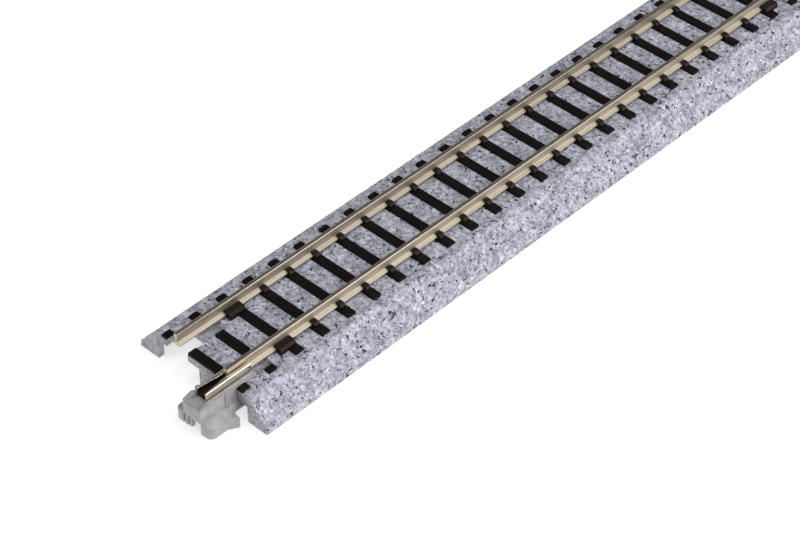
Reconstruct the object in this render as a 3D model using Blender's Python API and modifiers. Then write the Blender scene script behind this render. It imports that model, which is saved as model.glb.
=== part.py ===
"""Straight model track section: two rails on sleepers, let into a hollow ballast roadbed, with one
clip-on rail joiner at each end.

World frame: +X along the track, +Y across it, +Z up. The origin is under the middle of the track, on the
surface that the roadbed stands on. The section looks the same after half a turn about Z.
"""

import math

import bmesh
import bpy

MM = 0.001

# Whole section
TRACK_LENGTH = 124.0 * MM
GAUGE = 9.0 * MM
GAP = 0.03 * MM

# Rail section, measured from the underside of the foot
RAIL_HEIGHT = 1.95 * MM
HEAD_WIDTH = 0.63 * MM
HEAD_DEPTH = 0.57 * MM
HEAD_EDGE = 0.09 * MM
WEB_WIDTH = 0.32 * MM
FOOT_WIDTH = 1.40 * MM
FOOT_EDGE = 0.20 * MM
FOOT_DEPTH = 0.43 * MM

# Sleepers
SLEEPER_COUNT = 26
SLEEPER_WIDTH = 1.55 * MM
SLEEPER_LENGTH = 15.54 * MM
SLEEPER_TOP = 5.0 * MM
SLEEPER_DEPTH = 0.80 * MM
SLEEPER_EDGE = 0.10 * MM
SPLIT_DEPTH = 0.42 * MM  # of the pieces of a split sleeper
CHAIR_WIDTH = 0.95 * MM
CHAIR_REACH = 1.30 * MM
CHAIR_HEIGHT = 0.58 * MM
CLAMP_LENGTH = 2.85 * MM
CLAMP_REACH = 1.65 * MM
CLAMP_HEIGHT = 0.66 * MM
SPLIT_SLEEPERS = 2  # at each end, these are cut in three by the joiner pockets

# Roadbed
BASE_WIDTH = 24.5 * MM
BASE_EDGE = 1.1 * MM
BASE_LEAN = 0.15 * MM
DECK_TOP = 4.65 * MM
DECK_BOTTOM = 3.30 * MM
DECK_WIDTH = 18.0 * MM
WALL = 1.45 * MM
RIB = 1.0 * MM
BAYS = 4
END_WALL = 1.0 * MM

# Joiner pockets, at each end of the roadbed, one under each rail
POCKET_DEPTH = 3.8 * MM
POCKET_INNER = 2.62 * MM
POCKET_OUTER = 6.76 * MM
SHELF_DEPTH = 6.7 * MM
SHELF_TOP = 4.25 * MM
MOUTH_OUTER = 8.65 * MM
BARE_MOUTH_INNER = 0.50 * MM
BARE_MOUTH_TOP = 3.45 * MM
JOINER_MOUTH_INNER = 1.90 * MM
JOINER_MOUTH_TOP = 2.75 * MM

# Joiners, measured outwards from the end of the track, and up from the foot of the rail
CONTACT_START = -3.6 * MM
CONTACT_END = 4.4 * MM
CONTACT_WIDTH = 1.86 * MM
CONTACT_SHEET = 0.17 * MM
CONTACT_BOTTOM = -0.24 * MM
CONTACT_TOP = 1.15 * MM
CONTACT_LIP = 0.62 * MM
CONTACT_CUT_START = 1.4 * MM
CONTACT_CUT_HALF = 0.70 * MM
BODY_START = -3.7 * MM
BODY_END = 6.2 * MM
BODY_STEP = 1.9 * MM
BODY_BOTTOM = -3.20 * MM
BODY_FRONT_BOTTOM = -2.62 * MM
BODY_TOP = -0.06 * MM
BODY_HALF = 1.70 * MM
BODY_HALF_REAR = 1.88 * MM
SKIRT_HALF = 2.75 * MM
SKIRT_TOP = -2.40 * MM
SKIRT_EDGE = -2.80 * MM
FUNNEL_HALF = 1.35 * MM
FUNNEL_DROP = 0.10 * MM
CHEEK_INNER = 1.02 * MM
CHEEK_HEIGHT = 0.34 * MM
KNOB_X = 3.55 * MM
KNOB_Y = 1.52 * MM
KNOB_TOP = 0.32 * MM
KNOB_HEIGHT = 1.2 * MM
KNOB_RADIUS = 0.50 * MM
POST_INNER = 0.55 * MM
POST_OUTER = 1.05 * MM
GROOVE_Y = 1.75 * MM
GROOVE_WIDTH = 0.25 * MM
LEDGE = 0.12 * MM
LEDGE_TOP = -2.32 * MM
NOSE = 5.95 * MM
NOSE_RADIUS = 1.0 * MM
WING_INNER = 1.2 * MM
WING_BOTTOM = -4.80 * MM
WING_TOP = -2.95 * MM
WING_HALF = 3.20 * MM
WING_BARB = 3.93 * MM
INNER_WING_EXTRA = 0.50 * MM  # how much wider the wing towards the middle of the track is
INNER_BARB_EXTRA = 0.22 * MM
BARB_LENGTH = 0.35 * MM
WING_TAIL = 1.4 * MM
WING_BEND = 2.9 * MM

RAIL_CENTRE = (GAUGE + HEAD_WIDTH) / 2
PITCH = (TRACK_LENGTH - SLEEPER_WIDTH) / (SLEEPER_COUNT - 1)
END = TRACK_LENGTH / 2


def clear_scene():
    for old in list(bpy.data.objects):
        bpy.data.objects.remove(old, do_unlink=True)


def new_collection(name):
    made = bpy.data.collections.new(name)
    bpy.context.scene.collection.children.link(made)
    return made


def new_material(name, colour, roughness, metallic=0.0):
    made = bpy.data.materials.new(name)
    made.use_nodes = True
    shader = made.node_tree.nodes["Principled BSDF"]
    shader.inputs["Base Color"].default_value = (*colour, 1.0)
    shader.inputs["Roughness"].default_value = roughness
    shader.inputs["Metallic"].default_value = metallic
    return made


def add_object(name, mesh, collection):
    made = bpy.data.objects.new(name, mesh)
    collection.objects.link(made)
    return made


def box(name, low, high, collection, edge=0.0):
    """A box between two corners, with its edges rounded by edge."""
    cube = bmesh.new()
    bmesh.ops.create_cube(cube, size=1.0)
    for vert in cube.verts:
        for axis in range(3):
            vert.co[axis] = low[axis] if vert.co[axis] < 0 else high[axis]
    mesh = bpy.data.meshes.new(name)
    cube.to_mesh(mesh)
    cube.free()
    made = add_object(name, mesh, collection)
    if edge:
        bevel = made.modifiers.new("rounded_edges", "BEVEL")
        bevel.width = edge
        bevel.segments = 2
    return made


def as_mesh(source):
    """The evaluated shape of an object, as a welded mesh object whose own axes are the world's."""
    bpy.context.view_layer.update()
    graph = bpy.context.evaluated_depsgraph_get()
    mesh = bpy.data.meshes.new_from_object(source.evaluated_get(graph))
    mesh.name = source.name
    welded = bmesh.new()
    welded.from_mesh(mesh)
    bmesh.ops.remove_doubles(welded, verts=welded.verts, dist=0.002 * MM)
    bmesh.ops.transform(welded, matrix=source.matrix_world, verts=welded.verts)
    bmesh.ops.recalc_face_normals(welded, faces=welded.faces)
    welded.to_mesh(mesh)
    welded.free()
    name = source.name
    collection = source.users_collection[0]
    bpy.data.objects.remove(source, do_unlink=True)
    return add_object(name, mesh, collection)


def prism(name, outline, start, end, collection, axis="X"):
    """A flat outline pushed along an axis from start to end.

    The outline's points are (y, z) when it is pushed along X, (x, z) along Y and (x, y) along Z.
    """
    curve = bpy.data.curves.new(name, "CURVE")
    curve.dimensions = "2D"
    curve.fill_mode = "BOTH"
    curve.extrude = (end - start) / 2
    spline = curve.splines.new("POLY")
    spline.points.add(len(outline) - 1)
    for point, (across, up) in zip(spline.points, outline):
        point.co = (across, up, 0.0, 1.0)
    spline.use_cyclic_u = True
    made = bpy.data.objects.new(name, curve)
    collection.objects.link(made)
    middle = (start + end) / 2
    if axis == "X":
        made.rotation_euler = (math.radians(90), 0.0, math.radians(90))
        made.location = (middle, 0.0, 0.0)
    elif axis == "Y":
        made.rotation_euler = (math.radians(90), 0.0, 0.0)
        made.location = (0.0, middle, 0.0)
    else:
        made.location = (0.0, 0.0, middle)
    return as_mesh(made)


def mirrored(outline):
    """A closed outline from its half at +Y, given from bottom to top."""
    return outline + [(-across, up) for across, up in reversed(outline)]


def arc(centre, radius, start, end, steps):
    """Points of a round corner, from one angle to another, in degrees."""
    points = []
    for step in range(steps + 1):
        angle = math.radians(start + (end - start) * step / steps)
        points.append((centre[0] + radius * math.cos(angle), centre[1] + radius * math.sin(angle)))
    return points


def boolean(target, other, operation):
    modifier = target.modifiers.new(operation.lower(), "BOOLEAN")
    modifier.operation = operation
    modifier.solver = "EXACT"
    modifier.object = other
    other.hide_render = True
    other.display_type = "WIRE"


def shade_round(made):
    made.data.shade_smooth()
    made.data.set_sharp_from_angle(angle=math.radians(30))


def turned(source, name, location):
    """Another object on the same mesh, half a turn round from its first place."""
    made = add_object(name, source.data, parts)
    made.location = location
    made.rotation_euler = (0.0, 0.0, math.pi)
    return made


def rail_outline():
    head_bottom = RAIL_HEIGHT - HEAD_DEPTH
    head = HEAD_WIDTH / 2
    crown = arc((head - HEAD_EDGE, RAIL_HEIGHT - HEAD_EDGE), HEAD_EDGE, 0, 90, 3)
    half = [
        (FOOT_WIDTH / 2, 0.0),
        (FOOT_WIDTH / 2, FOOT_EDGE),
        (WEB_WIDTH / 2, FOOT_DEPTH),
        (WEB_WIDTH / 2, head_bottom - 0.13 * MM),
        (head, head_bottom),
    ]
    return mirrored(half + crown)


def make_rails(finish):
    rail = prism("rail_left", rail_outline(), -END, END, parts)
    rail.data.materials.append(finish)
    shade_round(rail)
    rail.location = (0.0, RAIL_CENTRE, SLEEPER_TOP)
    other = add_object("rail_right", rail.data, parts)
    other.location = (0.0, -RAIL_CENTRE, SLEEPER_TOP)


def chair_outline(side, outer, reach, height, bottom):
    """The hook that holds one edge of a rail's foot. side is +1 or -1 of the rail's centre line."""
    foot = FOOT_WIDTH / 2 + GAP
    web = WEB_WIDTH / 2 + 2 * GAP
    points = [
        (foot, bottom),
        (reach, bottom),
        (reach, 0.18 * MM),
        (outer, height - 0.12 * MM),
        (outer - 0.14 * MM, height),
        (web, height),
        (web, FOOT_DEPTH + 2 * GAP),
        (foot, FOOT_EDGE + 2 * GAP),
    ]
    return [(side * across, up + SLEEPER_TOP) for across, up in points]


def add_chairs(sleeper, name, start, end, reach, height, bottom):
    """Joins a hook on each side of both rails to a sleeper, between start and end along the track."""
    for rail_side in (1, -1):
        for foot_side in (1, -1):
            outline = chair_outline(foot_side, reach - 0.25 * MM, reach, height, bottom)
            outline = [(across + rail_side * RAIL_CENTRE, up) for across, up in outline]
            chair = prism(f"{name}_{rail_side}_{foot_side}", outline, start, end, cutters)
            boolean(sleeper, chair, "UNION")


def sleeper_bar(name, low_y, high_y, depth):
    half = SLEEPER_WIDTH / 2
    low = (-half, low_y, SLEEPER_TOP - depth)
    high = (half, high_y, SLEEPER_TOP)
    return as_mesh(box(name, low, high, parts, SLEEPER_EDGE))


def sleeper_name(index, part=""):
    return f"sleeper_{index + 1:02d}{part}"


def sleeper_x(index):
    return (index - (SLEEPER_COUNT - 1) / 2) * PITCH


def make_sleepers(finish):
    half = SLEEPER_LENGTH / 2
    last = SLEEPER_COUNT - 1

    # Sleepers 3 and 24 carry long clamps that reach towards the end of the track.
    first_clamp = SPLIT_SLEEPERS
    clamp = sleeper_bar(sleeper_name(first_clamp), -half, half, SLEEPER_DEPTH)
    end = SLEEPER_WIDTH / 2 - 0.15 * MM
    bottom = DECK_TOP + GAP - SLEEPER_TOP
    add_chairs(clamp, "clamp", end - CLAMP_LENGTH, end, CLAMP_REACH, CLAMP_HEIGHT, bottom)
    clamp = as_mesh(clamp)
    clamp.data.materials.append(finish)
    clamp.location.x = sleeper_x(first_clamp)
    turned(clamp, sleeper_name(last - first_clamp), (sleeper_x(last - first_clamp), 0.0, 0.0))

    plain = sleeper_bar(sleeper_name(first_clamp + 1), -half, half, SLEEPER_DEPTH)
    end = CHAIR_WIDTH / 2
    add_chairs(plain, "chair", -end, end, CHAIR_REACH, CHAIR_HEIGHT, -0.2 * MM)
    plain = as_mesh(plain)
    plain.data.materials.append(finish)
    plain.location.x = sleeper_x(first_clamp + 1)
    for index in range(first_clamp + 2, last - first_clamp):
        copy = add_object(sleeper_name(index), plain.data, parts)
        copy.location.x = sleeper_x(index)

    middle_mesh = None
    stub_mesh = None
    for index in [*range(SPLIT_SLEEPERS), *range(last - SPLIT_SLEEPERS + 1, last + 1)]:
        if middle_mesh is None:
            name = sleeper_name(index, "_middle")
            middle = sleeper_bar(name, -POCKET_INNER, POCKET_INNER, SPLIT_DEPTH)
            middle_mesh = middle.data
            middle_mesh.materials.append(finish)
            name = sleeper_name(index, "_end_left")
            stub = sleeper_bar(name, POCKET_OUTER, half, SPLIT_DEPTH)
            stub_mesh = stub.data
            stub_mesh.materials.append(finish)
        else:
            middle = add_object(sleeper_name(index, "_middle"), middle_mesh, parts)
            stub = add_object(sleeper_name(index, "_end_left"), stub_mesh, parts)
        middle.location.x = sleeper_x(index)
        stub.location.x = sleeper_x(index)
        turned(stub, sleeper_name(index, "_end_right"), (sleeper_x(index), 0.0, 0.0))


def roadbed_outline():
    half = BASE_WIDTH / 2
    return mirrored([(half, 0.0), (half - BASE_LEAN, BASE_EDGE), (DECK_WIDTH / 2, DECK_TOP)])


def hollow_outline():
    """The room between a side wall and the middle of the underside."""
    outer = BASE_WIDTH / 2 - WALL
    return [
        (RIB / 2, -1.0 * MM),
        (outer, -1.0 * MM),
        (outer - BASE_LEAN, BASE_EDGE),
        (DECK_WIDTH / 2 - 0.75 * WALL, DECK_BOTTOM),
        (RIB / 2, DECK_BOTTOM),
    ]


def cut_hollows(roadbed):
    """Bays between the cross ribs, and the room behind each end wall."""
    bay_end = END - SHELF_DEPTH - RIB
    pitch = 2 * bay_end / BAYS
    spans = []
    for bay in range(BAYS):
        start = -bay_end + pitch * bay
        spans.append((start + RIB / 2, start + pitch - RIB / 2))
    spans.append((-END + END_WALL, -END + SHELF_DEPTH))
    spans.append((END - SHELF_DEPTH, END - END_WALL))
    for number, (start, end) in enumerate(spans):
        for side in (1, -1):
            outline = [(side * across, up) for across, up in hollow_outline()]
            hollow = prism(f"hollow_{number}_{side}", outline, start, end, cutters)
            boolean(roadbed, hollow, "DIFFERENCE")


def cut_pockets(roadbed):
    """Each end has a bare rail on one side and a joiner on the other, and each has its pocket."""
    past = 1.0 * MM
    for end in (-1, 1):
        for side in (-1, 1):
            bare = end != side
            name = f"pocket_{'bare' if bare else 'joiner'}_{end}"
            mouth_top = BARE_MOUTH_TOP if bare else JOINER_MOUTH_TOP
            mouth_inner = BARE_MOUTH_INNER if bare else JOINER_MOUTH_INNER
            spans = [
                ("deck", POCKET_DEPTH, POCKET_INNER, POCKET_OUTER, -past, DECK_TOP + past),
                ("shelf", SHELF_DEPTH, POCKET_INNER, POCKET_OUTER, SHELF_TOP, DECK_TOP + past),
                ("mouth", END_WALL + 0.5 * MM, mouth_inner, MOUTH_OUTER, -past, mouth_top),
            ]
            for part, depth, inner, outer, bottom, top in spans:
                xs = sorted((end * (END + past), end * (END - depth)))
                ys = sorted((side * inner, side * outer))
                cutter = box(f"{name}_{part}", (xs[0], ys[0], bottom), (xs[1], ys[1], top), cutters)
                boolean(roadbed, cutter, "DIFFERENCE")


def cut_sleeper_slots(roadbed):
    """Every sleeper is let into the deck."""
    half_width = SLEEPER_WIDTH / 2 + GAP
    half_length = SLEEPER_LENGTH / 2 + GAP
    for index in range(SLEEPER_COUNT):
        split = index < SPLIT_SLEEPERS or index >= SLEEPER_COUNT - SPLIT_SLEEPERS
        stub_start = POCKET_OUTER - 0.2 * MM
        spans = [(-half_length, half_length)]
        bottom = SLEEPER_TOP - SLEEPER_DEPTH - GAP
        if split:
            bottom = SLEEPER_TOP - SPLIT_DEPTH - GAP
            middle = POCKET_INNER + 0.2 * MM
            spans = [(-half_length, -stub_start), (-middle, middle), (stub_start, half_length)]
        for part, (low_y, high_y) in enumerate(spans):
            low = (sleeper_x(index) - half_width, low_y, bottom)
            high = (sleeper_x(index) + half_width, high_y, DECK_TOP + 1.0 * MM)
            slot = box(f"slot_{index}_{part}", low, high, cutters)
            boolean(roadbed, slot, "DIFFERENCE")


def make_roadbed(finish):
    roadbed = prism("roadbed", roadbed_outline(), -END, END, parts)
    roadbed.data.materials.append(finish)
    cut_hollows(roadbed)
    cut_pockets(roadbed)
    cut_sleeper_slots(roadbed)


def contact_outline():
    """A strip bent to a channel, with lips that turn in over the foot of the rail."""
    outer = CONTACT_WIDTH / 2
    inner = outer - CONTACT_SHEET
    lip = outer - CONTACT_LIP
    under_lip = CONTACT_TOP - CONTACT_SHEET
    half = [
        (outer, CONTACT_BOTTOM),
        (outer, CONTACT_TOP),
        (lip, CONTACT_TOP),
        (lip, under_lip),
        (inner, under_lip),
        (inner, CONTACT_BOTTOM + CONTACT_SHEET),
    ]
    return mirrored(half)


def body_outline(half, inner_top, skirt):
    """The joiner's moulding across its length: a trough for the contact, with a skirt or without.

    The side towards the track's middle is the one at -Y.
    """
    trough = CONTACT_WIDTH / 2 + 2 * GAP
    low = [(half, BODY_FRONT_BOTTOM)]
    if skirt:
        low = [(SKIRT_HALF, BODY_BOTTOM), (SKIRT_HALF, SKIRT_EDGE), (half, SKIRT_TOP)]
    outer = low + [(half, BODY_TOP), (trough, BODY_TOP), (trough, CONTACT_BOTTOM - GAP)]
    inner = low + [(half, inner_top), (trough, inner_top), (trough, CONTACT_BOTTOM - GAP)]
    return outer + [(-across, up) for across, up in reversed(inner)]


def wing_outline(side):
    """One latch wing in plan: round nose, straight flank, and a barb at its tail."""
    half = WING_HALF
    barb = WING_BARB
    if side < 0:
        half += INNER_WING_EXTRA
        barb += INNER_BARB_EXTRA
    points = [
        (WING_TAIL, WING_INNER),
        (WING_TAIL, barb),
        (WING_TAIL + BARB_LENGTH, barb),
        (WING_BEND, half),
    ]
    points += arc((NOSE - NOSE_RADIUS, half - NOSE_RADIUS), NOSE_RADIUS, 90, 0, 6)
    points.append((NOSE, WING_INNER))
    return [(along, side * across) for along, across in points]


def add_wings(body):
    """Latch wings at both sides of the body: sloping on top, with a narrow ledge along the body."""
    slope = [
        (WING_INNER - 0.1 * MM, WING_BOTTOM - 1.0 * MM),
        (WING_BARB + 1.0 * MM, WING_BOTTOM - 1.0 * MM),
        (WING_BARB + 1.0 * MM, WING_TOP - 0.6 * MM),
        (WING_HALF, WING_TOP),
        (BODY_HALF + LEDGE, LEDGE_TOP - LEDGE),
        (BODY_HALF + LEDGE, LEDGE_TOP),
        (WING_INNER - 0.1 * MM, LEDGE_TOP),
    ]
    for side in (1, -1):
        plan = wing_outline(side)
        wing = prism(f"joiner_wing_{side}", plan, WING_BOTTOM, WING_TOP + 1.0 * MM, cutters, axis="Z")
        section = [(side * across, up) for across, up in slope]
        top = prism(f"joiner_wing_top_{side}", section, 0.0, BODY_END + 1.0 * MM, cutters)
        boolean(wing, top, "INTERSECT")
        boolean(body, wing, "UNION")


def add_funnel(body):
    """The front of the channel opens out to guide the next rail in, beside a raised cheek."""
    past = 1.0 * MM
    cheek_start = CONTACT_END - 0.2 * MM
    cheek = [
        (BODY_START - past, BODY_TOP),
        (cheek_start, BODY_TOP),
        (cheek_start, CHEEK_HEIGHT - 0.2 * MM),
        (cheek_start + 0.5 * MM, CHEEK_HEIGHT),
        (BODY_END, BODY_TOP),
        (BODY_END + past, BODY_TOP - 0.2 * MM),
        (BODY_END + past, CHEEK_HEIGHT + past),
        (BODY_START - past, CHEEK_HEIGHT + past),
    ]
    over = prism("joiner_cheek", cheek, -SKIRT_HALF, 0.0, cutters, axis="Y")
    boolean(body, over, "DIFFERENCE")
    mouth = CONTACT_WIDTH / 2
    flare = FUNNEL_HALF + (FUNNEL_HALF - mouth) / (BODY_END - CONTACT_END) * past
    plan = [
        (CONTACT_END, -mouth),
        (BODY_END + past, -flare),
        (BODY_END + past, flare),
        (CONTACT_END, mouth),
    ]
    low = CONTACT_BOTTOM - GAP - FUNNEL_DROP
    funnel = prism("joiner_funnel", plan, low, CHEEK_HEIGHT + past, cutters, axis="Z")
    boolean(body, funnel, "DIFFERENCE")


def add_knob(body):
    """A blunt pin that stands beside the mouth of the channel."""
    shape = bmesh.new()
    top_radius = 0.84 * KNOB_RADIUS
    bmesh.ops.create_cone(
        shape, cap_ends=True, segments=16, radius1=KNOB_RADIUS, radius2=top_radius, depth=KNOB_HEIGHT
    )
    mesh = bpy.data.meshes.new("joiner_knob")
    shape.to_mesh(mesh)
    shape.free()
    knob = add_object("joiner_knob", mesh, cutters)
    knob.location = (KNOB_X, -KNOB_Y, KNOB_TOP - KNOB_HEIGHT / 2)
    boolean(body, knob, "UNION")


def make_joiner_body(name, finish):
    """Moulded body of a joiner, pointing along its own +X, with the track's middle on its -Y side."""
    front = body_outline(BODY_HALF, CHEEK_HEIGHT + 0.1 * MM, False)
    body = prism(name, front, BODY_STEP - 0.5 * MM, BODY_END, parts)
    behind = body_outline(BODY_HALF_REAR, BODY_TOP, True)
    rear = prism("joiner_rear", behind, BODY_START, BODY_STEP, cutters)
    boolean(body, rear, "UNION")
    add_funnel(body)
    add_wings(body)
    add_knob(body)

    # A thin post under the front, and a groove in the nose of the wing beside it.
    low = (NOSE - 0.75 * MM, -POST_OUTER, WING_BOTTOM)
    high = (NOSE - 0.1 * MM, -POST_INNER, BODY_FRONT_BOTTOM + 0.2 * MM)
    boolean(body, box("joiner_post", low, high, cutters), "UNION")
    low = (NOSE - 0.3 * MM, -GROOVE_Y - GROOVE_WIDTH, WING_BOTTOM - 1.0 * MM)
    high = (NOSE + 1.0 * MM, -GROOVE_Y, WING_TOP + 1.0 * MM)
    boolean(body, box("joiner_groove", low, high, cutters), "DIFFERENCE")

    made = as_mesh(body)
    made.data.materials.append(finish)
    shade_round(made)
    return made


def make_joiner_contact(name, finish):
    """Folded channel of a joiner, with its lips cut back towards the open end."""
    contact = prism(name, contact_outline(), CONTACT_START, CONTACT_END, parts)
    past = 1.0 * MM
    gap = CONTACT_WIDTH / 2 - CONTACT_LIP
    half = [
        (CONTACT_CUT_START, 0.8 * gap),
        (CONTACT_CUT_START + 0.3 * MM, gap + 0.14 * MM),
        (CONTACT_END, CONTACT_CUT_HALF),
        (CONTACT_END + past, CONTACT_CUT_HALF),
    ]
    plan = half + [(along, -across) for along, across in reversed(half)]
    low = CONTACT_TOP - 1.3 * CONTACT_SHEET
    opening = prism("joiner_contact_opening", plan, low, CONTACT_TOP + past, cutters, axis="Z")
    boolean(contact, opening, "DIFFERENCE")
    made = as_mesh(contact)
    made.data.materials.append(finish)
    return made


def make_joiners(body_finish, contact_finish):
    """One joiner at each end, on the rail that is on the right of someone looking out along the track."""
    body = make_joiner_body("joiner_body_far", body_finish)
    contact = make_joiner_contact("joiner_contact_far", contact_finish)
    for far, near_name in ((body, "joiner_body_near"), (contact, "joiner_contact_near")):
        far.location = (END, RAIL_CENTRE, SLEEPER_TOP)
        turned(far, near_name, (-END, -RAIL_CENTRE, SLEEPER_TOP))


clear_scene()
parts = new_collection("track_section")
cutters = new_collection("cutters")

ballast_plastic = new_material("ballast_grey_plastic", (0.36, 0.36, 0.42), 0.75)
sleeper_plastic = new_material("sleeper_dark_brown_plastic", (0.012, 0.009, 0.008), 0.45)
rail_metal = new_material("nickel_silver_rail", (0.78, 0.70, 0.58), 0.25, 1.0)
joiner_plastic = new_material("joiner_grey_plastic", (0.30, 0.30, 0.31), 0.5)
contact_metal = new_material("nickel_silver_sheet", (0.85, 0.80, 0.70), 0.2, 1.0)

make_roadbed(ballast_plastic)
make_sleepers(sleeper_plastic)
make_rails(rail_metal)
make_joiners(joiner_plastic, contact_metal)
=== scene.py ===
import math

import bmesh
import bpy
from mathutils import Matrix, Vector, noise


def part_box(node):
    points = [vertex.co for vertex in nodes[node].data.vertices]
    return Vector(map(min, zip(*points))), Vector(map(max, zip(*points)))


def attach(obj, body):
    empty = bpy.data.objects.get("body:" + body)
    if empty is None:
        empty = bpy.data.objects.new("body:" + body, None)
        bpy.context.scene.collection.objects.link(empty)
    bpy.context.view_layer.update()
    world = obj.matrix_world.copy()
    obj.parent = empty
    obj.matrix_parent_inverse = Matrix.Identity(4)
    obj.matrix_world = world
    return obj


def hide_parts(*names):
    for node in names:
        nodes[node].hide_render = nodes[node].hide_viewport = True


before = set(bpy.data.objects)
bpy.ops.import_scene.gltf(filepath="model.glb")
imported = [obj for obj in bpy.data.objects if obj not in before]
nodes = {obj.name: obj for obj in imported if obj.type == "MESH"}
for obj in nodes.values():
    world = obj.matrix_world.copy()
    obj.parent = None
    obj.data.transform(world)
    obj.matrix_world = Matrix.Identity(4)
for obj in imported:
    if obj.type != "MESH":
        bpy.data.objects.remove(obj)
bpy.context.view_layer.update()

mm = 0.001
scene = bpy.context.scene


# helpers for colours, nodes and meshes

def toLinear(hexColour):
    # sRGB hex to the linear values that a shader socket takes
    values = [int(hexColour[i:i + 2], 16) / 255 for i in (0, 2, 4)]
    return tuple(v / 12.92 if v < 0.04045 else ((v + 0.055) / 1.055) ** 2.4 for v in values) + (1.0,)


def addNode(tree, kind, inputs=None, stops=(), **settings):
    # one node and its settings; an input takes a value or the socket that feeds it,
    # and a colour ramp takes stops, each a position with a hex colour or a grey level
    node = tree.nodes.new(kind)
    for name, value in settings.items():
        setattr(node, name, value)
    for key, value in (inputs or {}).items():
        socket = node.inputs[key]
        if isinstance(value, bpy.types.NodeSocket):
            tree.links.new(value, socket)
        else:
            socket.default_value = value
    if stops:
        ramp = node.color_ramp
        while len(ramp.elements) < len(stops):
            ramp.elements.new(0.5)
        for element, (position, colour) in zip(ramp.elements, stops):
            element.position = position
            element.color = toLinear(colour) if isinstance(colour, str) else (colour, colour, colour, 1.0)
    return node


def newMaterial(name, **settings):
    made = bpy.data.materials.new(name)
    made.use_nodes = True
    tree = made.node_tree
    shader = tree.nodes["Principled BSDF"].inputs
    for key, value in settings.items():
        shader[key.replace("_", " ")].default_value = value
    coords = addNode(tree, "ShaderNodeTexCoord").outputs["Object"]
    return made, tree, shader, coords


def newObject(name, data):
    made = bpy.data.objects.new(name, data)
    scene.collection.objects.link(made)
    return made


def fromBmesh(name, work, material):
    mesh = bpy.data.meshes.new(name)
    work.to_mesh(mesh)
    work.free()
    mesh.materials.append(material)
    return newObject(name, mesh)


def bake(piece):
    # turns the evaluated piece into a plain mesh without modifiers
    bpy.context.view_layer.update()
    graph = bpy.context.evaluated_depsgraph_get()
    mesh = bpy.data.meshes.new_from_object(piece.evaluated_get(graph), depsgraph=graph)
    piece.modifiers.clear()
    piece.data = mesh
    mesh.name = piece.name
    return piece


def newTree(name, inputs):
    tree = bpy.data.node_groups.new(name, "GeometryNodeTree")
    tree.interface.new_socket("Geometry", in_out="INPUT", socket_type="NodeSocketGeometry")
    for label, kind in inputs.items():
        tree.interface.new_socket(label, in_out="INPUT", socket_type="NodeSocket" + kind)
    tree.interface.new_socket("Geometry", in_out="OUTPUT", socket_type="NodeSocketGeometry")
    given = tree.nodes.new("NodeGroupInput").outputs
    return tree, given


def finishTree(tree, geometry, dressing):
    # realised instances, then the material, then out
    real = addNode(tree, "GeometryNodeRealizeInstances", {"Geometry": geometry})
    dressed = addNode(tree, "GeometryNodeSetMaterial", {"Geometry": real.outputs["Geometry"], **dressing})
    addNode(tree, "NodeGroupOutput", {"Geometry": dressed.outputs["Geometry"]})


def useTree(piece, tree, values):
    # runs a Geometry Nodes tree on a piece, with its inputs set by identifier
    modifier = piece.modifiers.new(tree.name, "NODES")
    modifier.node_group = tree
    for item in tree.interface.items_tree:
        if item.item_type == "SOCKET" and item.in_out == "INPUT" and item.name in values:
            modifier[item.identifier] = values[item.name]
    return bake(piece)


def shade(piece, angle):
    piece.data.shade_smooth()
    piece.data.set_sharp_from_angle(angle=math.radians(angle))


def place(piece, body, slot, *replaced):
    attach(piece, body)
    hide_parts(*replaced)


def cadCopy(node):
    # the node's own shape as a merged bmesh
    work = bmesh.new()
    work.from_mesh(nodes[node].data)
    bmesh.ops.remove_doubles(work, verts=work.verts, dist=0.001 * mm)
    return work


def centreOf(node, axis):
    low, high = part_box(node)
    return (low[axis] + high[axis]) / 2


def sweep(rings):
    # skins a list of rings of points, each ring in the same order, and closes both ends
    work = bmesh.new()
    made = [[work.verts.new(point) for point in ring] for ring in rings]
    count = len(rings[0])
    for ring, following in zip(made, made[1:]):
        for i in range(count):
            j = (i + 1) % count
            work.faces.new((ring[i], ring[j], following[j], following[i]))
    work.faces.new(list(reversed(made[0])))
    work.faces.new(made[-1])
    bmesh.ops.recalc_face_normals(work, faces=work.faces)
    return work


def rounded(outline, radii, steps):
    # replaces the corners of a closed outline by curves; radii gives one radius for each corner
    points = []
    count = len(outline)
    for i, radius in enumerate(radii):
        corner = Vector(outline[i])
        before = Vector(outline[i - 1]) - corner
        after = Vector(outline[(i + 1) % count]) - corner
        if radius <= 0:
            points.append(tuple(corner))
            continue
        half = before.angle(after) / 2
        reach = min(radius / math.tan(half), 0.49 * before.length, 0.49 * after.length)
        start = corner + before.normalized() * reach
        end = corner + after.normalized() * reach
        for step in range(steps + 1):
            t = step / steps
            points.append(tuple((1 - t) ** 2 * start + 2 * t * (1 - t) * corner + t ** 2 * end))
    return points


def mirrored(half):
    # a half outline and its reflection across the middle, as one round
    return half + [(-y, z) for y, z in reversed(half)]


# the camera looks along the track from above its near end

cameraView = {"place": (-211.43 * mm, -179.09 * mm, 231.18 * mm), "tilt": 47.913, "turn": -46.266,
              "lens": 111.065, "sensor": 36, "nearest": 0.01}
camera = newObject("camera", bpy.data.cameras.new("camera"))
camera.data.lens = cameraView["lens"]
camera.data.sensor_width = cameraView["sensor"]
camera.data.sensor_fit = "HORIZONTAL"
camera.data.clip_start = cameraView["nearest"]
camera.location = cameraView["place"]
camera.rotation_euler = (math.radians(cameraView["tilt"]), 0, math.radians(cameraView["turn"]))
scene.camera = camera


# materials; every width is a real size on the surface

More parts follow.
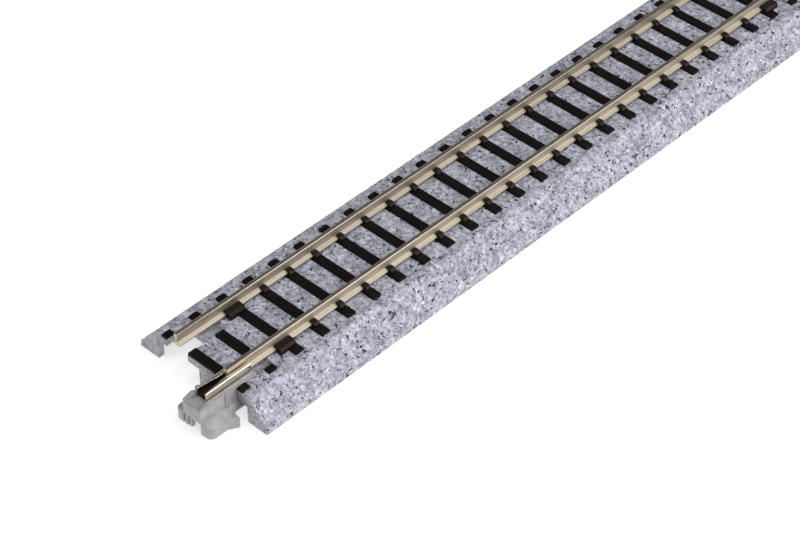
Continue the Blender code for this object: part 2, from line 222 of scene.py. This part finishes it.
speckle = {"stone": 0.42 * mm, "patch": 1.7 * mm, "grit": 0.12 * mm, "gritDepth": 0.02 * mm,
           # each kind of fleck: width, noise level where it starts and where it is solid, colour
           "flecks": [(0.62 * mm, 0.610, 0.640, "1E1F33"), (0.30 * mm, 0.620, 0.660, "34354E"),
                      (0.34 * mm, 0.660, 0.690, "FFFFFF")]}


def makeStone():
    # styrene moulded as ballast and printed with flecks: dull lavender grey with navy and white specks
    made, tree, shader, coords = newMaterial("stoneSpeckledStyrene", Roughness=0.72)
    mottle = addNode(tree, "ShaderNodeTexNoise", {"Vector": coords, "Scale": 0.62 / speckle["stone"],
                                                  "Detail": 6.0, "Roughness": 0.72})
    greys = [(0.33, "72738A"), (0.44, "9A9BAA"), (0.52, "B3B3BF"), (0.60, "C2C2CC"), (0.70, "DCDCE4")]
    toned = addNode(tree, "ShaderNodeValToRGB", {"Fac": mottle.outputs["Fac"]}, greys).outputs["Color"]

    # each stone has a tone of its own, and so has each wider patch
    stones = addNode(tree, "ShaderNodeTexVoronoi",
                     {"Vector": coords, "Scale": 1 / speckle["stone"], "Randomness": 1.0})
    parted = addNode(tree, "ShaderNodeSeparateColor", {"Color": stones.outputs["Color"]})
    patches = addNode(tree, "ShaderNodeTexNoise",
                      {"Vector": coords, "Scale": 1 / speckle["patch"], "Detail": 2.0})
    for factor, stops in ((parted.outputs["Red"], [(0.0, 0.66), (0.25, 0.92), (0.8, 1.0), (1.0, 1.16)]),
                          (patches.outputs["Fac"], [(0.35, 0.80), (0.65, 1.16)])):
        tone = addNode(tree, "ShaderNodeValToRGB", {"Fac": factor}, stops)
        toned = addNode(tree, "ShaderNodeMix", {0: 1.0, 6: toned, 7: tone.outputs["Color"]},
                        data_type="RGBA", blend_type="MULTIPLY").outputs[2]

    # printed flecks: each kind reads its own stretch of the noise
    for number, (width, starts, solid, colour) in enumerate(speckle["flecks"]):
        moved = addNode(tree, "ShaderNodeMapping",
                        {"Vector": coords, "Location": ((7 + 9 * number) * mm, 0, 3 * mm)})
        ragged = addNode(tree, "ShaderNodeTexNoise", {"Vector": moved.outputs["Vector"], "Scale": 1 / width,
                                                      "Detail": 2.5, "Roughness": 0.6})
        inside = addNode(tree, "ShaderNodeValToRGB", {"Fac": ragged.outputs["Fac"]},
                         [(starts, 0.0), (solid, 1.0)])
        toned = addNode(tree, "ShaderNodeMix", {0: inside.outputs["Color"], 6: toned, 7: toLinear(colour)},
                        data_type="RGBA", blend_type="MIX").outputs[2]
    tree.links.new(toned, shader["Base Color"])
    grit = addNode(tree, "ShaderNodeTexNoise",
                   {"Vector": coords, "Scale": 1 / speckle["grit"], "Detail": 3.0})
    bump = addNode(tree, "ShaderNodeBump", {"Height": grit.outputs["Fac"], "Strength": 0.35,
                                            "Distance": speckle["gritDepth"]})
    tree.links.new(bump.outputs["Normal"], shader["Normal"])
    return made


def makeCloudy(name, cloudWidth, detail, stops, **settings):
    # a surface whose colour drifts between the given stops
    made, tree, shader, coords = newMaterial(name, **settings)
    cloud = addNode(tree, "ShaderNodeTexNoise",
                    {"Vector": coords, "Scale": 1 / cloudWidth, "Detail": detail})
    colour = addNode(tree, "ShaderNodeValToRGB", {"Fac": cloud.outputs["Fac"]}, stops)
    tree.links.new(colour.outputs["Color"], shader["Base Color"])
    return made, tree, shader, coords


def makeLined(name, lineWidth, stretch, detail, colours, roughness, relief=None, **settings):
    # a surface with fine lines along one axis, where colour and roughness change from line to line
    made, tree, shader, coords = newMaterial(name, **settings)
    along = addNode(tree, "ShaderNodeMapping", {"Vector": coords, "Scale": stretch})
    lines = addNode(tree, "ShaderNodeTexNoise",
                    {"Vector": along.outputs["Vector"], "Scale": 1 / lineWidth, "Detail": detail})
    for socket, (low, high) in (("Base Color", colours), ("Roughness", roughness)):
        stops = [(0.3, low), (0.7, high)]
        ramp = addNode(tree, "ShaderNodeValToRGB", {"Fac": lines.outputs["Fac"]}, stops)
        tree.links.new(ramp.outputs["Color"], shader[socket])
    if relief:
        strength, depth = relief
        bump = addNode(tree, "ShaderNodeBump",
                       {"Height": lines.outputs["Fac"], "Strength": strength, "Distance": depth})
        tree.links.new(bump.outputs["Normal"], shader["Normal"])
    return made


def makeAcetal():
    # acetal, moulded satin: even mid grey with fine pores and soft highlights on its rounded edges
    made, tree, shader, coords = makeCloudy("satinGreyAcetal", 0.9 * mm, 4.0,
                                            [(0.3, "8F8D90"), (0.7, "A8A6A9")],
                                            Roughness=0.3, Specular_IOR_Level=0.6)
    pores = addNode(tree, "ShaderNodeTexNoise", {"Vector": coords, "Scale": 1 / (0.08 * mm), "Detail": 2.0})
    bump = addNode(tree, "ShaderNodeBump",
                   {"Height": pores.outputs["Fac"], "Strength": 0.12, "Distance": 0.01 * mm})
    tree.links.new(bump.outputs["Normal"], shader["Normal"])
    return made


stone = makeStone()
acetal = makeAcetal()

# the roadbed's styrene where the mould is polished: even grey with a soft sheen
smoothStyrene = makeCloudy("polishedMouldStyrene", 0.5 * mm, 6.0,
                           [(0.36, "7F7F87"), (0.5, "A3A3A9"), (0.64, "B8B8BD")], Roughness=0.5)[0]

# dark brown ABS moulded with a wood grain along the sleeper: nearly black, hardly any gloss;
# the grain is drawn coarser than the mould's own, so that it shows
brown = makeLined("darkBrownAbs", 0.16 * mm, (1.0, 0.08, 1.0), 4.0, ("060403", "120D0B"), (0.42, 0.62),
                  (0.4, 0.02 * mm), Specular_IOR_Level=0.14)

# the same ABS on the chairs and clamps, where the mould is smooth; its lighter brown is a painted sheen
# standing in for their highlights
smoothBrownPaintedSheen = makeCloudy("polishedMouldBrownAbs", 0.4 * mm, 4.0, [(0.35, "0C0705"), (0.65, "2A1A12")],
                         Roughness=0.32, Specular_IOR_Level=0.12)[0]

# drawn nickel silver: a warm champagne metal with faint lines along its length; real drawing
# lines are a few hundredths of a millimetre apart, and these are coarser so that they show
drawn = makeLined("drawnNickelSilver", 0.09 * mm, (0.01, 1.0, 1.0), 3.0, ("B4AA98", "D6CCBA"), (0.48, 0.64),
                  (0.2, 0.01 * mm), Metallic=1.0)

# the running surface of the rail, worn by wheels: smoother than its sides
worn = makeLined("wheelWornNickelSilver", 0.07 * mm, (0.01, 1.0, 1.0), 3.0, ("B7AB9E", "CBBFB1"),
                 (0.11, 0.20), Metallic=1.0)

# rolled nickel silver strip, folded: paler and smoother than the sides of the rail, with
# rolling marks drawn as coarse as they need to show
rolled = makeLined("foldedNickelSilverStrip", 0.2 * mm, (0.05, 1.0, 1.0), 2.0, ("D8CCB8", "E8DFD0"),
                   (0.2, 0.3), Metallic=1.0)

# the inside of the same strip, painted brown black as the shade deep in its channel, with hardly any shine
paintedChannelShade = makeCloudy("tarnishedNickelSilver", 0.5 * mm, 3.0, [(0.3, "120E0A"), (0.7, "33291F")],
                       Metallic=0.6, Roughness=0.6)[0]
print("materials made")


# ballast bed: the roadbed with its moulded stone texture

ballast = {"spacing": 0.25 * mm, "quickSpacing": 0.625 * mm, "grain": 0.42 * mm, "relief": 0.12 * mm,
           "seed": 4,
           "smoothHeights": (4.25 * mm, 4.55 * mm, 4.17 * mm),  # shelves by the pockets, sleeper slots
           "lowestStones": 2 * mm,  # below this, faces that look up are plain
           # the upright band along the foot of each side, and its share of the relief
           "bandTop": 1.1 * mm, "bandSide": 10.845 * mm, "bandEdge": 1.0 * mm, "bandRelief": 0.3}


def sliceFaces(work, faces, axis, spacing):
    # cuts the given faces by evenly spaced planes across one axis, and returns them all
    def span(face):
        values = [vert.co[axis] for vert in face.verts]
        return min(values), max(values)
    waiting = [(*span(face), face.index, face) for face in faces]
    waiting.sort(key=lambda item: (item[0], item[2]))
    normal = [0, 0, 0]
    normal[axis] = 1
    done = []
    active = []
    low = waiting[0][0]
    high = max(item[1] for item in waiting)
    count = round((high - low) / spacing)
    slack = spacing * 0.02  # a plane this close to a corner doesn't cut there
    cursor = 0
    for step in range(1, count):
        position = low + step * (high - low) / count
        while cursor < len(waiting) and waiting[cursor][0] < position - slack:
            active.append(waiting[cursor][3])
            cursor += 1
        crossing = []
        for face in active:
            if span(face)[1] > position + slack:
                crossing.append(face)
            else:
                done.append(face)
        if not crossing:
            active = []
            continue
        edges = {edge for face in crossing for edge in face.edges}
        verts = {vert for face in crossing for vert in face.verts}
        at = [0, 0, 0]
        at[axis] = position
        cut = bmesh.ops.bisect_plane(work, geom=[*verts, *edges, *crossing], dist=slack,
                                     plane_co=at, plane_no=normal)
        active = []
        for face in cut["geom"]:
            if isinstance(face, bmesh.types.BMFace):
                if span(face)[1] > position + slack:
                    active.append(face)
                else:
                    done.append(face)
    done += active
    done += [item[3] for item in waiting[cursor:]]
    return done


def isStony(face):
    middle = face.calc_center_median()
    upward = face.normal.z > 0.3 and middle.z > ballast["lowestStones"]
    offset = min(abs(middle.z - height) for height in ballast["smoothHeights"])
    smooth = face.normal.z > 0.99 and offset < 0.02 * mm
    band = middle.z < ballast["bandTop"] and middle.y * face.normal.y > ballast["bandSide"]
    return (upward and not smooth) or band


def makeBallast():
    # cuts the stony faces into a fine grid and marks how far each of its points may move
    work = cadCopy("roadbed")
    bmesh.ops.dissolve_limit(work, angle_limit=0.002, verts=work.verts, edges=work.edges)
    work.faces.index_update()
    stony = [face for face in work.faces if isStony(face)]
    spacing = ballast["spacing"]
    stony = sliceFaces(work, stony, 1, spacing)
    stony = sliceFaces(work, stony, 0, spacing)
    mask = work.verts.layers.float.new("stoneMask")
    stonySet = set(stony)
    for face in stony:
        for vert in face.verts:
            inner = all(other in stonySet for other in vert.link_faces)
            share = ballast["bandRelief"] if vert.co.z < ballast["bandEdge"] else 1.0
            vert[mask] = share if inner else 0.0
        face.material_index = 1
    bmesh.ops.triangulate(work, faces=[face for face in work.faces if len(face.verts) > 4])
    piece = fromBmesh("ballastBed", work, smoothStyrene)
    piece.data.materials.append(stone)
    flags = piece.data.attributes.new("stoneFace", "BOOLEAN", "FACE")
    flags.data.foreach_set("value", [polygon.material_index == 1 for polygon in piece.data.polygons])
    return piece


def makeReliefTree():
    # moves each point along its normal: domed pebbles on rolling gravel, as far as the mask allows
    tree, given = newTree("stoneRelief", {"Grain Size": "Float", "Relief": "Float", "Seed": "Float"})
    position = addNode(tree, "GeometryNodeInputPosition").outputs[0]
    scale = addNode(tree, "ShaderNodeMath", {0: 1.0, 1: given["Grain Size"]}, operation="DIVIDE").outputs[0]
    grid = {"Vector": position, "W": given["Seed"], "Scale": scale}
    pebbles = addNode(tree, "ShaderNodeTexVoronoi", grid, voronoi_dimensions="4D").outputs["Distance"]
    grid["Detail"] = 2.0
    gravel = addNode(tree, "ShaderNodeTexNoise", grid, noise_dimensions="4D").outputs["Fac"]
    dome = addNode(tree, "ShaderNodeMath", {0: 0.35, 1: pebbles}, operation="SUBTRACT").outputs[0]
    wave = addNode(tree, "ShaderNodeMath", {0: gravel, 1: 0.5}, operation="SUBTRACT").outputs[0]
    summed = addNode(tree, "ShaderNodeMath", {0: wave, 1: 1.6, 2: dome}, operation="MULTIPLY_ADD")
    height = summed.outputs[0]
    mask = addNode(tree, "GeometryNodeInputNamedAttribute", {"Name": "stoneMask"}, data_type="FLOAT")
    for share in (mask.outputs["Attribute"], given["Relief"]):
        height = addNode(tree, "ShaderNodeMath", {0: height, 1: share}, operation="MULTIPLY").outputs[0]
    normal = addNode(tree, "GeometryNodeInputNormal").outputs[0]
    shift = addNode(tree, "ShaderNodeVectorMath", {0: normal, "Scale": height}, operation="SCALE")
    moved = addNode(tree, "GeometryNodeSetPosition",
                    {"Geometry": given["Geometry"], "Offset": shift.outputs[0]})
    stony = addNode(tree, "GeometryNodeInputNamedAttribute", {"Name": "stoneFace"}, data_type="BOOLEAN")
    finishTree(tree, moved.outputs["Geometry"], {"Selection": stony.outputs["Attribute"], "Material": stone})
    return tree


bed = makeBallast()
print("ballast cut:", len(bed.data.polygons), "faces")
useTree(bed, makeReliefTree(), {"Grain Size": ballast["grain"], "Relief": ballast["relief"],
                                "Seed": float(ballast["seed"])})
shade(bed, 40)
place(bed, "track", "ballast", "roadbed")
print("ballast bed done")


# rails

railSizes = {"height": 1.95 * mm, "head": 0.63 * mm, "headDepth": 0.57 * mm, "headFillet": 0.13 * mm,
             "web": 0.32 * mm, "foot": 1.40 * mm, "footEdge": 0.20 * mm, "footDepth": 0.43 * mm,
             # from the underside of the foot up to the top of the head
             "corners": [0.04 * mm, 0.06 * mm, 0.12 * mm, 0.08 * mm, 0.04 * mm, 0.09 * mm],
             # each end narrows over its rounding, by rounding / endWidth across and / endHeight upright
             "endRounding": 0.05 * mm, "endWidth": 0.5 * mm, "endHeight": 1 * mm,
             "wornDepth": 0.12 * mm}


def railSection():
    s = railSizes
    neck = s["height"] - s["headDepth"]
    half = [(s["foot"] / 2, 0), (s["foot"] / 2, s["footEdge"]), (s["web"] / 2, s["footDepth"]),
            (s["web"] / 2, neck - s["headFillet"]), (s["head"] / 2, neck), (s["head"] / 2, s["height"])]
    return rounded(mirrored(half), s["corners"] + s["corners"][::-1], 5)


def makeRail(name, node):
    low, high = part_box(node)
    centre = centreOf(node, 1)
    section = railSection()
    middle = sum(z for _, z in section) / len(section)
    rounding = railSizes["endRounding"]
    ends = [(0, rounding), (0.3 * rounding, 0.3 * rounding), (rounding, 0)]
    stations = [(low.x + inset, shrink) for inset, shrink in ends]
    stations += [(high.x - inset, shrink) for inset, shrink in reversed(ends)]
    rings = []
    for x, shrink in stations:
        narrow = 1 - shrink / railSizes["endWidth"]
        lower = shrink / railSizes["endHeight"]
        rings.append([(x, centre + y * narrow, low.z + z + (middle - z) * lower) for y, z in section])
    work = sweep(rings)
    for face in work.faces:
        if face.normal.z > 0.2 and face.calc_center_median().z > high.z - railSizes["wornDepth"]:
            face.material_index = 1
    piece = fromBmesh(name, work, drawn)
    piece.data.materials.append(worn)
    shade(piece, 30)
    place(piece, "track", "rail", node)


makeRail("leftRail", "rail_left")
makeRail("rightRail", "rail_right")
print("rails done")


# sleepers with their rail chairs

sleeper = {"width": 1.55 * mm, "top": 5.0 * mm, "depth": 0.80 * mm, "splitDepth": 0.42 * mm,
           "edge": 0.13 * mm, "edgeAngles": (1.5708, 1.05, 0.52, 0.0),  # radians from upright
           "topPoints": 10, "ringSpacing": 0.25 * mm,
           # wood grain: how wide, deep and many times longer than wide its streaks are,
           # how ragged the long sides are, and the height up to which the bar is plain
           "grainWidth": 0.2 * mm, "grainDepth": 0.05 * mm, "grainLength": 14,
           "ragged": 0.09 * mm, "raggedLength": 0.5 * mm, "plainFoot": 0.1 * mm}
chair = {"width": 0.95 * mm, "reach": 1.30 * mm, "height": 0.58 * mm, "bottom": -0.2 * mm, "grooves": 0}
clamp = {"width": 2.85 * mm, "reach": 1.65 * mm, "height": 0.66 * mm, "bottom": -0.32 * mm, "grooves": 2,
         "setback": 0.15 * mm}
chairShape = {"footGap": 0.02 * mm, "webGap": 0.05 * mm, "overFoot": 0.06 * mm, "overEdge": 0.05 * mm,
              "toeHeight": 0.18 * mm, "toeSlope": 0.25 * mm, "toeCorner": 0.1 * mm, "shoulder": 0.39 * mm,
              "shoulderDrop": 0.12 * mm, "shoulderCorner": 0.12 * mm, "webCorner": 0.05 * mm,
              "grooveHalf": 0.09 * mm, "grooveDepth": 0.13 * mm, "polishAndSheenFrom": 0.06 * mm,
              # how much the section pulls in at each distance from an end
              "ends": [(0, 0.16), (0.03 * mm, 0.05), (0.1 * mm, 0.0)]}
railCentre = centreOf("rail_left", 1)


def makeBar(name, lowY, highY, depth):
    # a bar across the track with soft edges and a moulded wood grain on its top and sides
    s = sleeper
    half = s["width"] / 2
    edge = s["edge"]
    base = s["top"] - depth
    crown = [(half - edge + edge * math.sin(angle), s["top"] - edge + edge * math.cos(angle))
             for angle in s["edgeAngles"]]
    across = [(-half + edge + (2 * half - 2 * edge) * i / s["topPoints"], s["top"])
              for i in range(s["topPoints"] - 1, 0, -1)]
    section = [(half, base)] + crown + across + [(-x, z) for x, z in reversed(crown)] + [(-half, base)]
    length = highY - lowY
    count = max(6, round(length / s["ringSpacing"]))
    ends = [(0, edge * 0.7), (0.3 * edge, edge * 0.2)]
    stations = [(lowY + inset, shrink) for inset, shrink in ends]
    stations += [(lowY + edge + (length - 2 * edge) * i / count, 0) for i in range(count + 1)]
    stations += [(highY - inset, shrink) for inset, shrink in reversed(ends)]
    rings = []
    for y, shrink in stations:
        narrow = 1 - shrink / half * 0.6
        lower = 1 - shrink / depth * 0.8
        ring = []
        for x, z in section:
            grain = 0
            if z > base + s["plainFoot"]:
                streak = Vector((x / s["grainWidth"], y / (s["grainLength"] * s["grainWidth"]), 3.7))
                grain = noise.noise(streak) * s["grainDepth"]
            ragged = noise.noise(Vector((math.copysign(5.1, x), y / s["raggedLength"], 1.9)))
            inwards = abs(ragged) * s["ragged"] / half
            ring.append((x * (narrow - inwards), y, base + (z - base) * lower - abs(grain)))
        rings.append(ring)
    return fromBmesh(name, sweep(rings), brown)


def chairOutline(side, sizes):
    # section of a chair or clamp on one side of a rail, from the top of the sleeper
    c = chairShape
    foot = railSizes["foot"] / 2 + c["footGap"]
    web = railSizes["web"] / 2 + c["webGap"]
    reach = sizes["reach"]
    high = sizes["height"]
    shoulder = reach - c["shoulder"]
    outline = [(foot, sizes["bottom"]), (reach, sizes["bottom"]), (reach, c["toeHeight"]),
               (reach - c["toeSlope"], high - c["shoulderDrop"]), (shoulder, high)]
    corners = [0, 0, c["toeCorner"], c["toeCorner"], c["shoulderCorner"]]
    for groove in range(sizes["grooves"]):
        # a groove across the top, parallel to the rail
        middle = shoulder + (web - shoulder) * (groove + 0.7) / (sizes["grooves"] + 0.6)
        outline += [(middle + c["grooveHalf"], high), (middle, high - c["grooveDepth"]),
                    (middle - c["grooveHalf"], high)]
        corners += [0, 0, 0]
    outline += [(web, high), (web, railSizes["footDepth"] + c["overFoot"]),
                (foot, railSizes["footEdge"] + c["overEdge"])]
    corners += [c["webCorner"], 0, 0]
    return [(side * y, z) for y, z in rounded(outline, corners, 3)]


def addChairs(bar, start, sizes):
    # four chairs on a bar, one on each side of each rail
    end = start + sizes["width"]
    ends = chairShape["ends"]
    stations = [(start + inset, pull) for inset, pull in ends]
    stations += [(end - inset, pull) for inset, pull in reversed(ends)]
    lumps = []
    for railSide in (1, -1):
        for side in (1, -1):
            outline = [(y + railSide * railCentre, z + sleeper["top"]) for y, z in chairOutline(side, sizes)]
            middleY = sum(y for y, _ in outline) / len(outline)
            middleZ = sum(z for _, z in outline) / len(outline)
            rings = [[(x, y + (middleY - y) * pull, z + (middleZ - z) * pull) for y, z in outline]
                     for x, pull in stations]
            lump = fromBmesh(f"{bar.name}Chair", sweep(rings), brown)
            lumps.append(lump)
            modifier = bar.modifiers.new("chair", "BOOLEAN")
            modifier.operation = "UNION"
            modifier.solver = "EXACT"
            modifier.object = lump
    bake(bar)
    for lump in lumps:
        bpy.data.objects.remove(lump)
    return bar


def makeSpacingTree():
    # copies of one sleeper along the track
    tree, given = newTree("sleeperSpacing", {"Sleeper": "Object", "Count": "Int", "First": "Vector",
                                             "Step": "Vector", "Turn": "Vector", "Material": "Material"})
    line = addNode(tree, "GeometryNodeMeshLine", {"Count": given["Count"], "Start Location": given["First"],
                                                  "Offset": given["Step"]}, mode="OFFSET")
    source = addNode(tree, "GeometryNodeObjectInfo", {"Object": given["Sleeper"]})
    laid = addNode(tree, "GeometryNodeInstanceOnPoints",
                   {"Points": line.outputs["Mesh"], "Instance": source.outputs["Geometry"],
                    "Rotation": given["Turn"]})
    finishTree(tree, laid.outputs["Instances"], {"Material": given["Material"]})
    return tree


spacingTree = makeSpacingTree()


def laySleepers(name, template, first, count, step, turn=0.0):
    seed = newObject(name, bpy.data.meshes.new(name))
    return useTree(seed, spacingTree, {"Sleeper": template, "Count": count, "First": (first, 0, 0),
                                       "Step": (step, 0, 0), "Turn": (0, 0, turn), "Material": brown})


def joinPieces(name, pieces):
    work = bmesh.new()
    for piece in pieces:
        work.from_mesh(piece.data)
        bpy.data.objects.remove(piece)
    return fromBmesh(name, work, brown)


def polishAndSheenChairs(piece):
    # everything that stands above the sleepers gets the smooth finish and its painted sheen
    piece.data.materials.append(smoothBrownPaintedSheen)
    for polygon in piece.data.polygons:
        if polygon.center.z > sleeper["top"] + chairShape["polishAndSheenFrom"]:
            polygon.material_index = 1


def finishSleepers(piece, template, replaced):
    bpy.data.objects.remove(template)
    shade(piece, 40)
    place(piece, "track", "sleeper", *replaced)


fullNames = sorted(name for name in nodes if name.startswith("sleeper_") and name.count("_") == 1)
plainNames = fullNames[1:-1]
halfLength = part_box(plainNames[0])[1].y
firstX = centreOf(plainNames[0], 0)
lastX = centreOf(plainNames[-1], 0)
pitch = (lastX - firstX) / (len(plainNames) - 1)

bar = makeBar("plainSleeper", -halfLength, halfLength, sleeper["depth"])
template = addChairs(bar, -chair["width"] / 2, chair)
plain = laySleepers("sleepers", template, firstX, len(plainNames), pitch)
polishAndSheenChairs(plain)
finishSleepers(plain, template, plainNames)

# next to the pockets, the clamps reach from the sleeper towards the end of the track
bar = makeBar("clampSleeper", -halfLength, halfLength, sleeper["depth"])
template = addChairs(bar, sleeper["width"] / 2 - clamp["setback"] - clamp["width"], clamp)
clamps = joinPieces("clampSleepers", [laySleepers("clampNear", template, firstX - pitch, 1, 0.0),
                                      laySleepers("clampFar", template, lastX + pitch, 1, 0.0, math.pi)])
polishAndSheenChairs(clamps)
finishSleepers(clamps, template, [fullNames[0], fullNames[-1]])

# the two outermost sleepers at each end are split by the pockets
splitStarts = (firstX - 3 * pitch, lastX + 2 * pitch)
middleNames = sorted(name for name in nodes if name.endswith("_middle"))
low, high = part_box(middleNames[0])
template = makeBar("middleBar", low.y, high.y, sleeper["splitDepth"])
middles = joinPieces("splitSleeperMiddles",
                     [laySleepers("middles", template, start, 2, pitch) for start in splitStarts])
finishSleepers(middles, template, middleNames)

stubNames = sorted(name for name in nodes if "_end_" in name)
low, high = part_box(next(name for name in stubNames if name.endswith("left")))
template = makeBar("endStub", low.y, high.y, sleeper["splitDepth"])
stubs = joinPieces("splitSleeperEnds", [laySleepers("stubs", template, start, 2, pitch, turn)
                                        for start in splitStarts for turn in (0.0, math.pi)])
finishSleepers(stubs, template, stubNames)
print("sleepers done")


# joiners: a moulded body and a folded metal contact at each end

joiner = {"edge": 0.08 * mm, "segments": 2, "sharpFrom": 25,
          # tight corners take this share of the rounding
          "tightShare": 0.35, "shortEdge": 0.2 * mm, "narrowCorner": 35}
contact = {"width": 1.86 * mm, "sheet": 0.17 * mm, "bottom": -0.24 * mm, "top": 1.15 * mm, "lip": 0.62 * mm,
           # from the underside round the lip and back inside
           "corners": [0.24 * mm, 0.24 * mm, 0.05 * mm, 0.04 * mm, 0.08 * mm, 0.08 * mm],
           # shares of the length at which the lip is cut back, and its width at the open end
           "cutStart": 0.62, "cutEnd": 0.66, "cutDepth": 0.14 * mm, "mouthLip": 0.23 * mm}


def isTight(vert):
    # a corner with a short edge or a narrow face, where a full rounding would overrun
    arms = [edge.other_vert(vert).co - vert.co for edge in vert.link_edges]
    if min(arm.length for arm in arms) < joiner["shortEdge"]:
        return True
    narrow = math.radians(joiner["narrowCorner"])
    return any(first.angle(second) < narrow for i, first in enumerate(arms) for second in arms[:i])


def makeJoinerBody(name, node, body):
    # the moulding with its edges rounded
    work = cadCopy(node)
    bmesh.ops.dissolve_limit(work, angle_limit=math.radians(1), verts=work.verts, edges=work.edges)
    weight = work.edges.layers.float.new("bevel_weight_edge")
    tight = {vert for vert in work.verts if isTight(vert)}
    for edge in work.edges:
        if edge.calc_face_angle() > math.radians(joiner["sharpFrom"]):
            edge[weight] = joiner["tightShare"] if tight & set(edge.verts) else 1.0
    piece = fromBmesh(name, work, acetal)
    bevel = piece.modifiers.new("edges", "BEVEL")
    bevel.width = joiner["edge"]
    bevel.segments = joiner["segments"]
    bevel.limit_method = "WEIGHT"
    bevel.use_clamp_overlap = False
    bake(piece)
    shade(piece, 50)
    place(piece, body, "joiner_plastic", node)


def contactOutline(lip):
    c = contact
    half = c["width"] / 2
    under = c["top"] - c["sheet"]
    side = [(half, c["bottom"]), (half, c["top"]), (half - lip, c["top"]), (half - lip, under),
            (half - c["sheet"], under), (half - c["sheet"], c["bottom"] + c["sheet"])]
    return rounded(mirrored(side), c["corners"] + c["corners"][::-1], 4)


def makeContact(name, node, body, outwards):
    # a bent strip whose lips are cut back towards the open end, with painted shade on its inside
    c = contact
    low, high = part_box(node)
    centre = centreOf(node, 1)
    foot = low.z - c["bottom"]
    inner, outer = sorted((low.x, high.x), key=abs)
    rings = []
    for share, lip in ((0.0, c["lip"]), (c["cutStart"], c["lip"]), (c["cutEnd"], c["lip"] - c["cutDepth"]),
                       (1.0, c["mouthLip"])):
        x = inner + (outer - inner) * share
        rings.append([(x, centre + outwards * y, foot + z) for y, z in contactOutline(lip)])
    work = sweep(rings)
    slack = 0.02 * mm
    inside = c["width"] / 2 - c["sheet"] + slack / 2
    for face in work.faces:
        # the faces along the inside of the channel take the painted shade
        middle = face.calc_center_median()
        lengthwise = abs(face.normal.x) < 0.5 and abs(middle.y - centre) < inside
        if lengthwise and low.z + slack < middle.z < foot + c["top"] - slack:
            face.material_index = 1
    piece = fromBmesh(name, work, rolled)
    piece.data.materials.append(paintedChannelShade)
    shade(piece, 40)
    place(piece, body, "contact", node)


for end, outwards in (("near", -1), ("far", 1)):
    makeJoinerBody(f"{end}JoinerBody", f"joiner_body_{end}", f"joiner_{end}")
    makeContact(f"{end}JoinerContact", f"joiner_contact_{end}", f"joiner_{end}", outwards)
print("joiners done")


# a pale floor that glows a little, and soft light panels round the track

studio = {"floorSize": 4.0, "floorDrop": 0.02 * mm, "floorGlow": 0.62, "surround": 0.20,
          # each panel: turn from +X, height angle, distance, width, brightness of its face
          "panels": {"rightPanel": (-60, 22, 1.3, 1.1, 3.0), "topPanel": (-90, 72, 1.3, 1.1, 2.3),
                     "frontPanel": (-150, 35, 1.2, 0.9, 0.4), "rimPanel": (140, 36, 1.4, 0.8, 1.5)}}


def makeFloor():
    # matt white paper
    work = bmesh.new()
    bmesh.ops.create_grid(work, x_segments=1, y_segments=1, size=studio["floorSize"])
    paper, _, shader, _ = newMaterial("matWhitePaper", Roughness=0.9)
    shader["Base Color"].default_value = toLinear("C4C4C4")
    shader["Emission Color"].default_value = (1, 1, 1, 1)
    shader["Emission Strength"].default_value = studio["floorGlow"]
    floor = fromBmesh("floor", work, paper)
    floor.location.z = -studio["floorDrop"]


def addPanel(name, turn, tilt, distance, width, brightness):
    light = bpy.data.lights.new(name, "AREA")
    light.size = width
    light.energy = brightness * math.pi * width * width
    lamp = newObject(name, light)
    turn, tilt = math.radians(turn), math.radians(tilt)
    towards = Vector((math.cos(turn) * math.cos(tilt), math.sin(turn) * math.cos(tilt), math.sin(tilt)))
    lamp.location = towards * distance
    lamp.rotation_euler = towards.to_track_quat("Z", "Y").to_euler()


makeFloor()
for name, panel in studio["panels"].items():
    addPanel(name, *panel)
scene.world = bpy.data.worlds.new("studio")
scene.world.use_nodes = True
surround = scene.world.node_tree.nodes["Background"].inputs
surround["Color"].default_value = (1, 1, 1, 1)
surround["Strength"].default_value = studio["surround"]
scene.view_settings.view_transform = "Standard"
print("studio done")
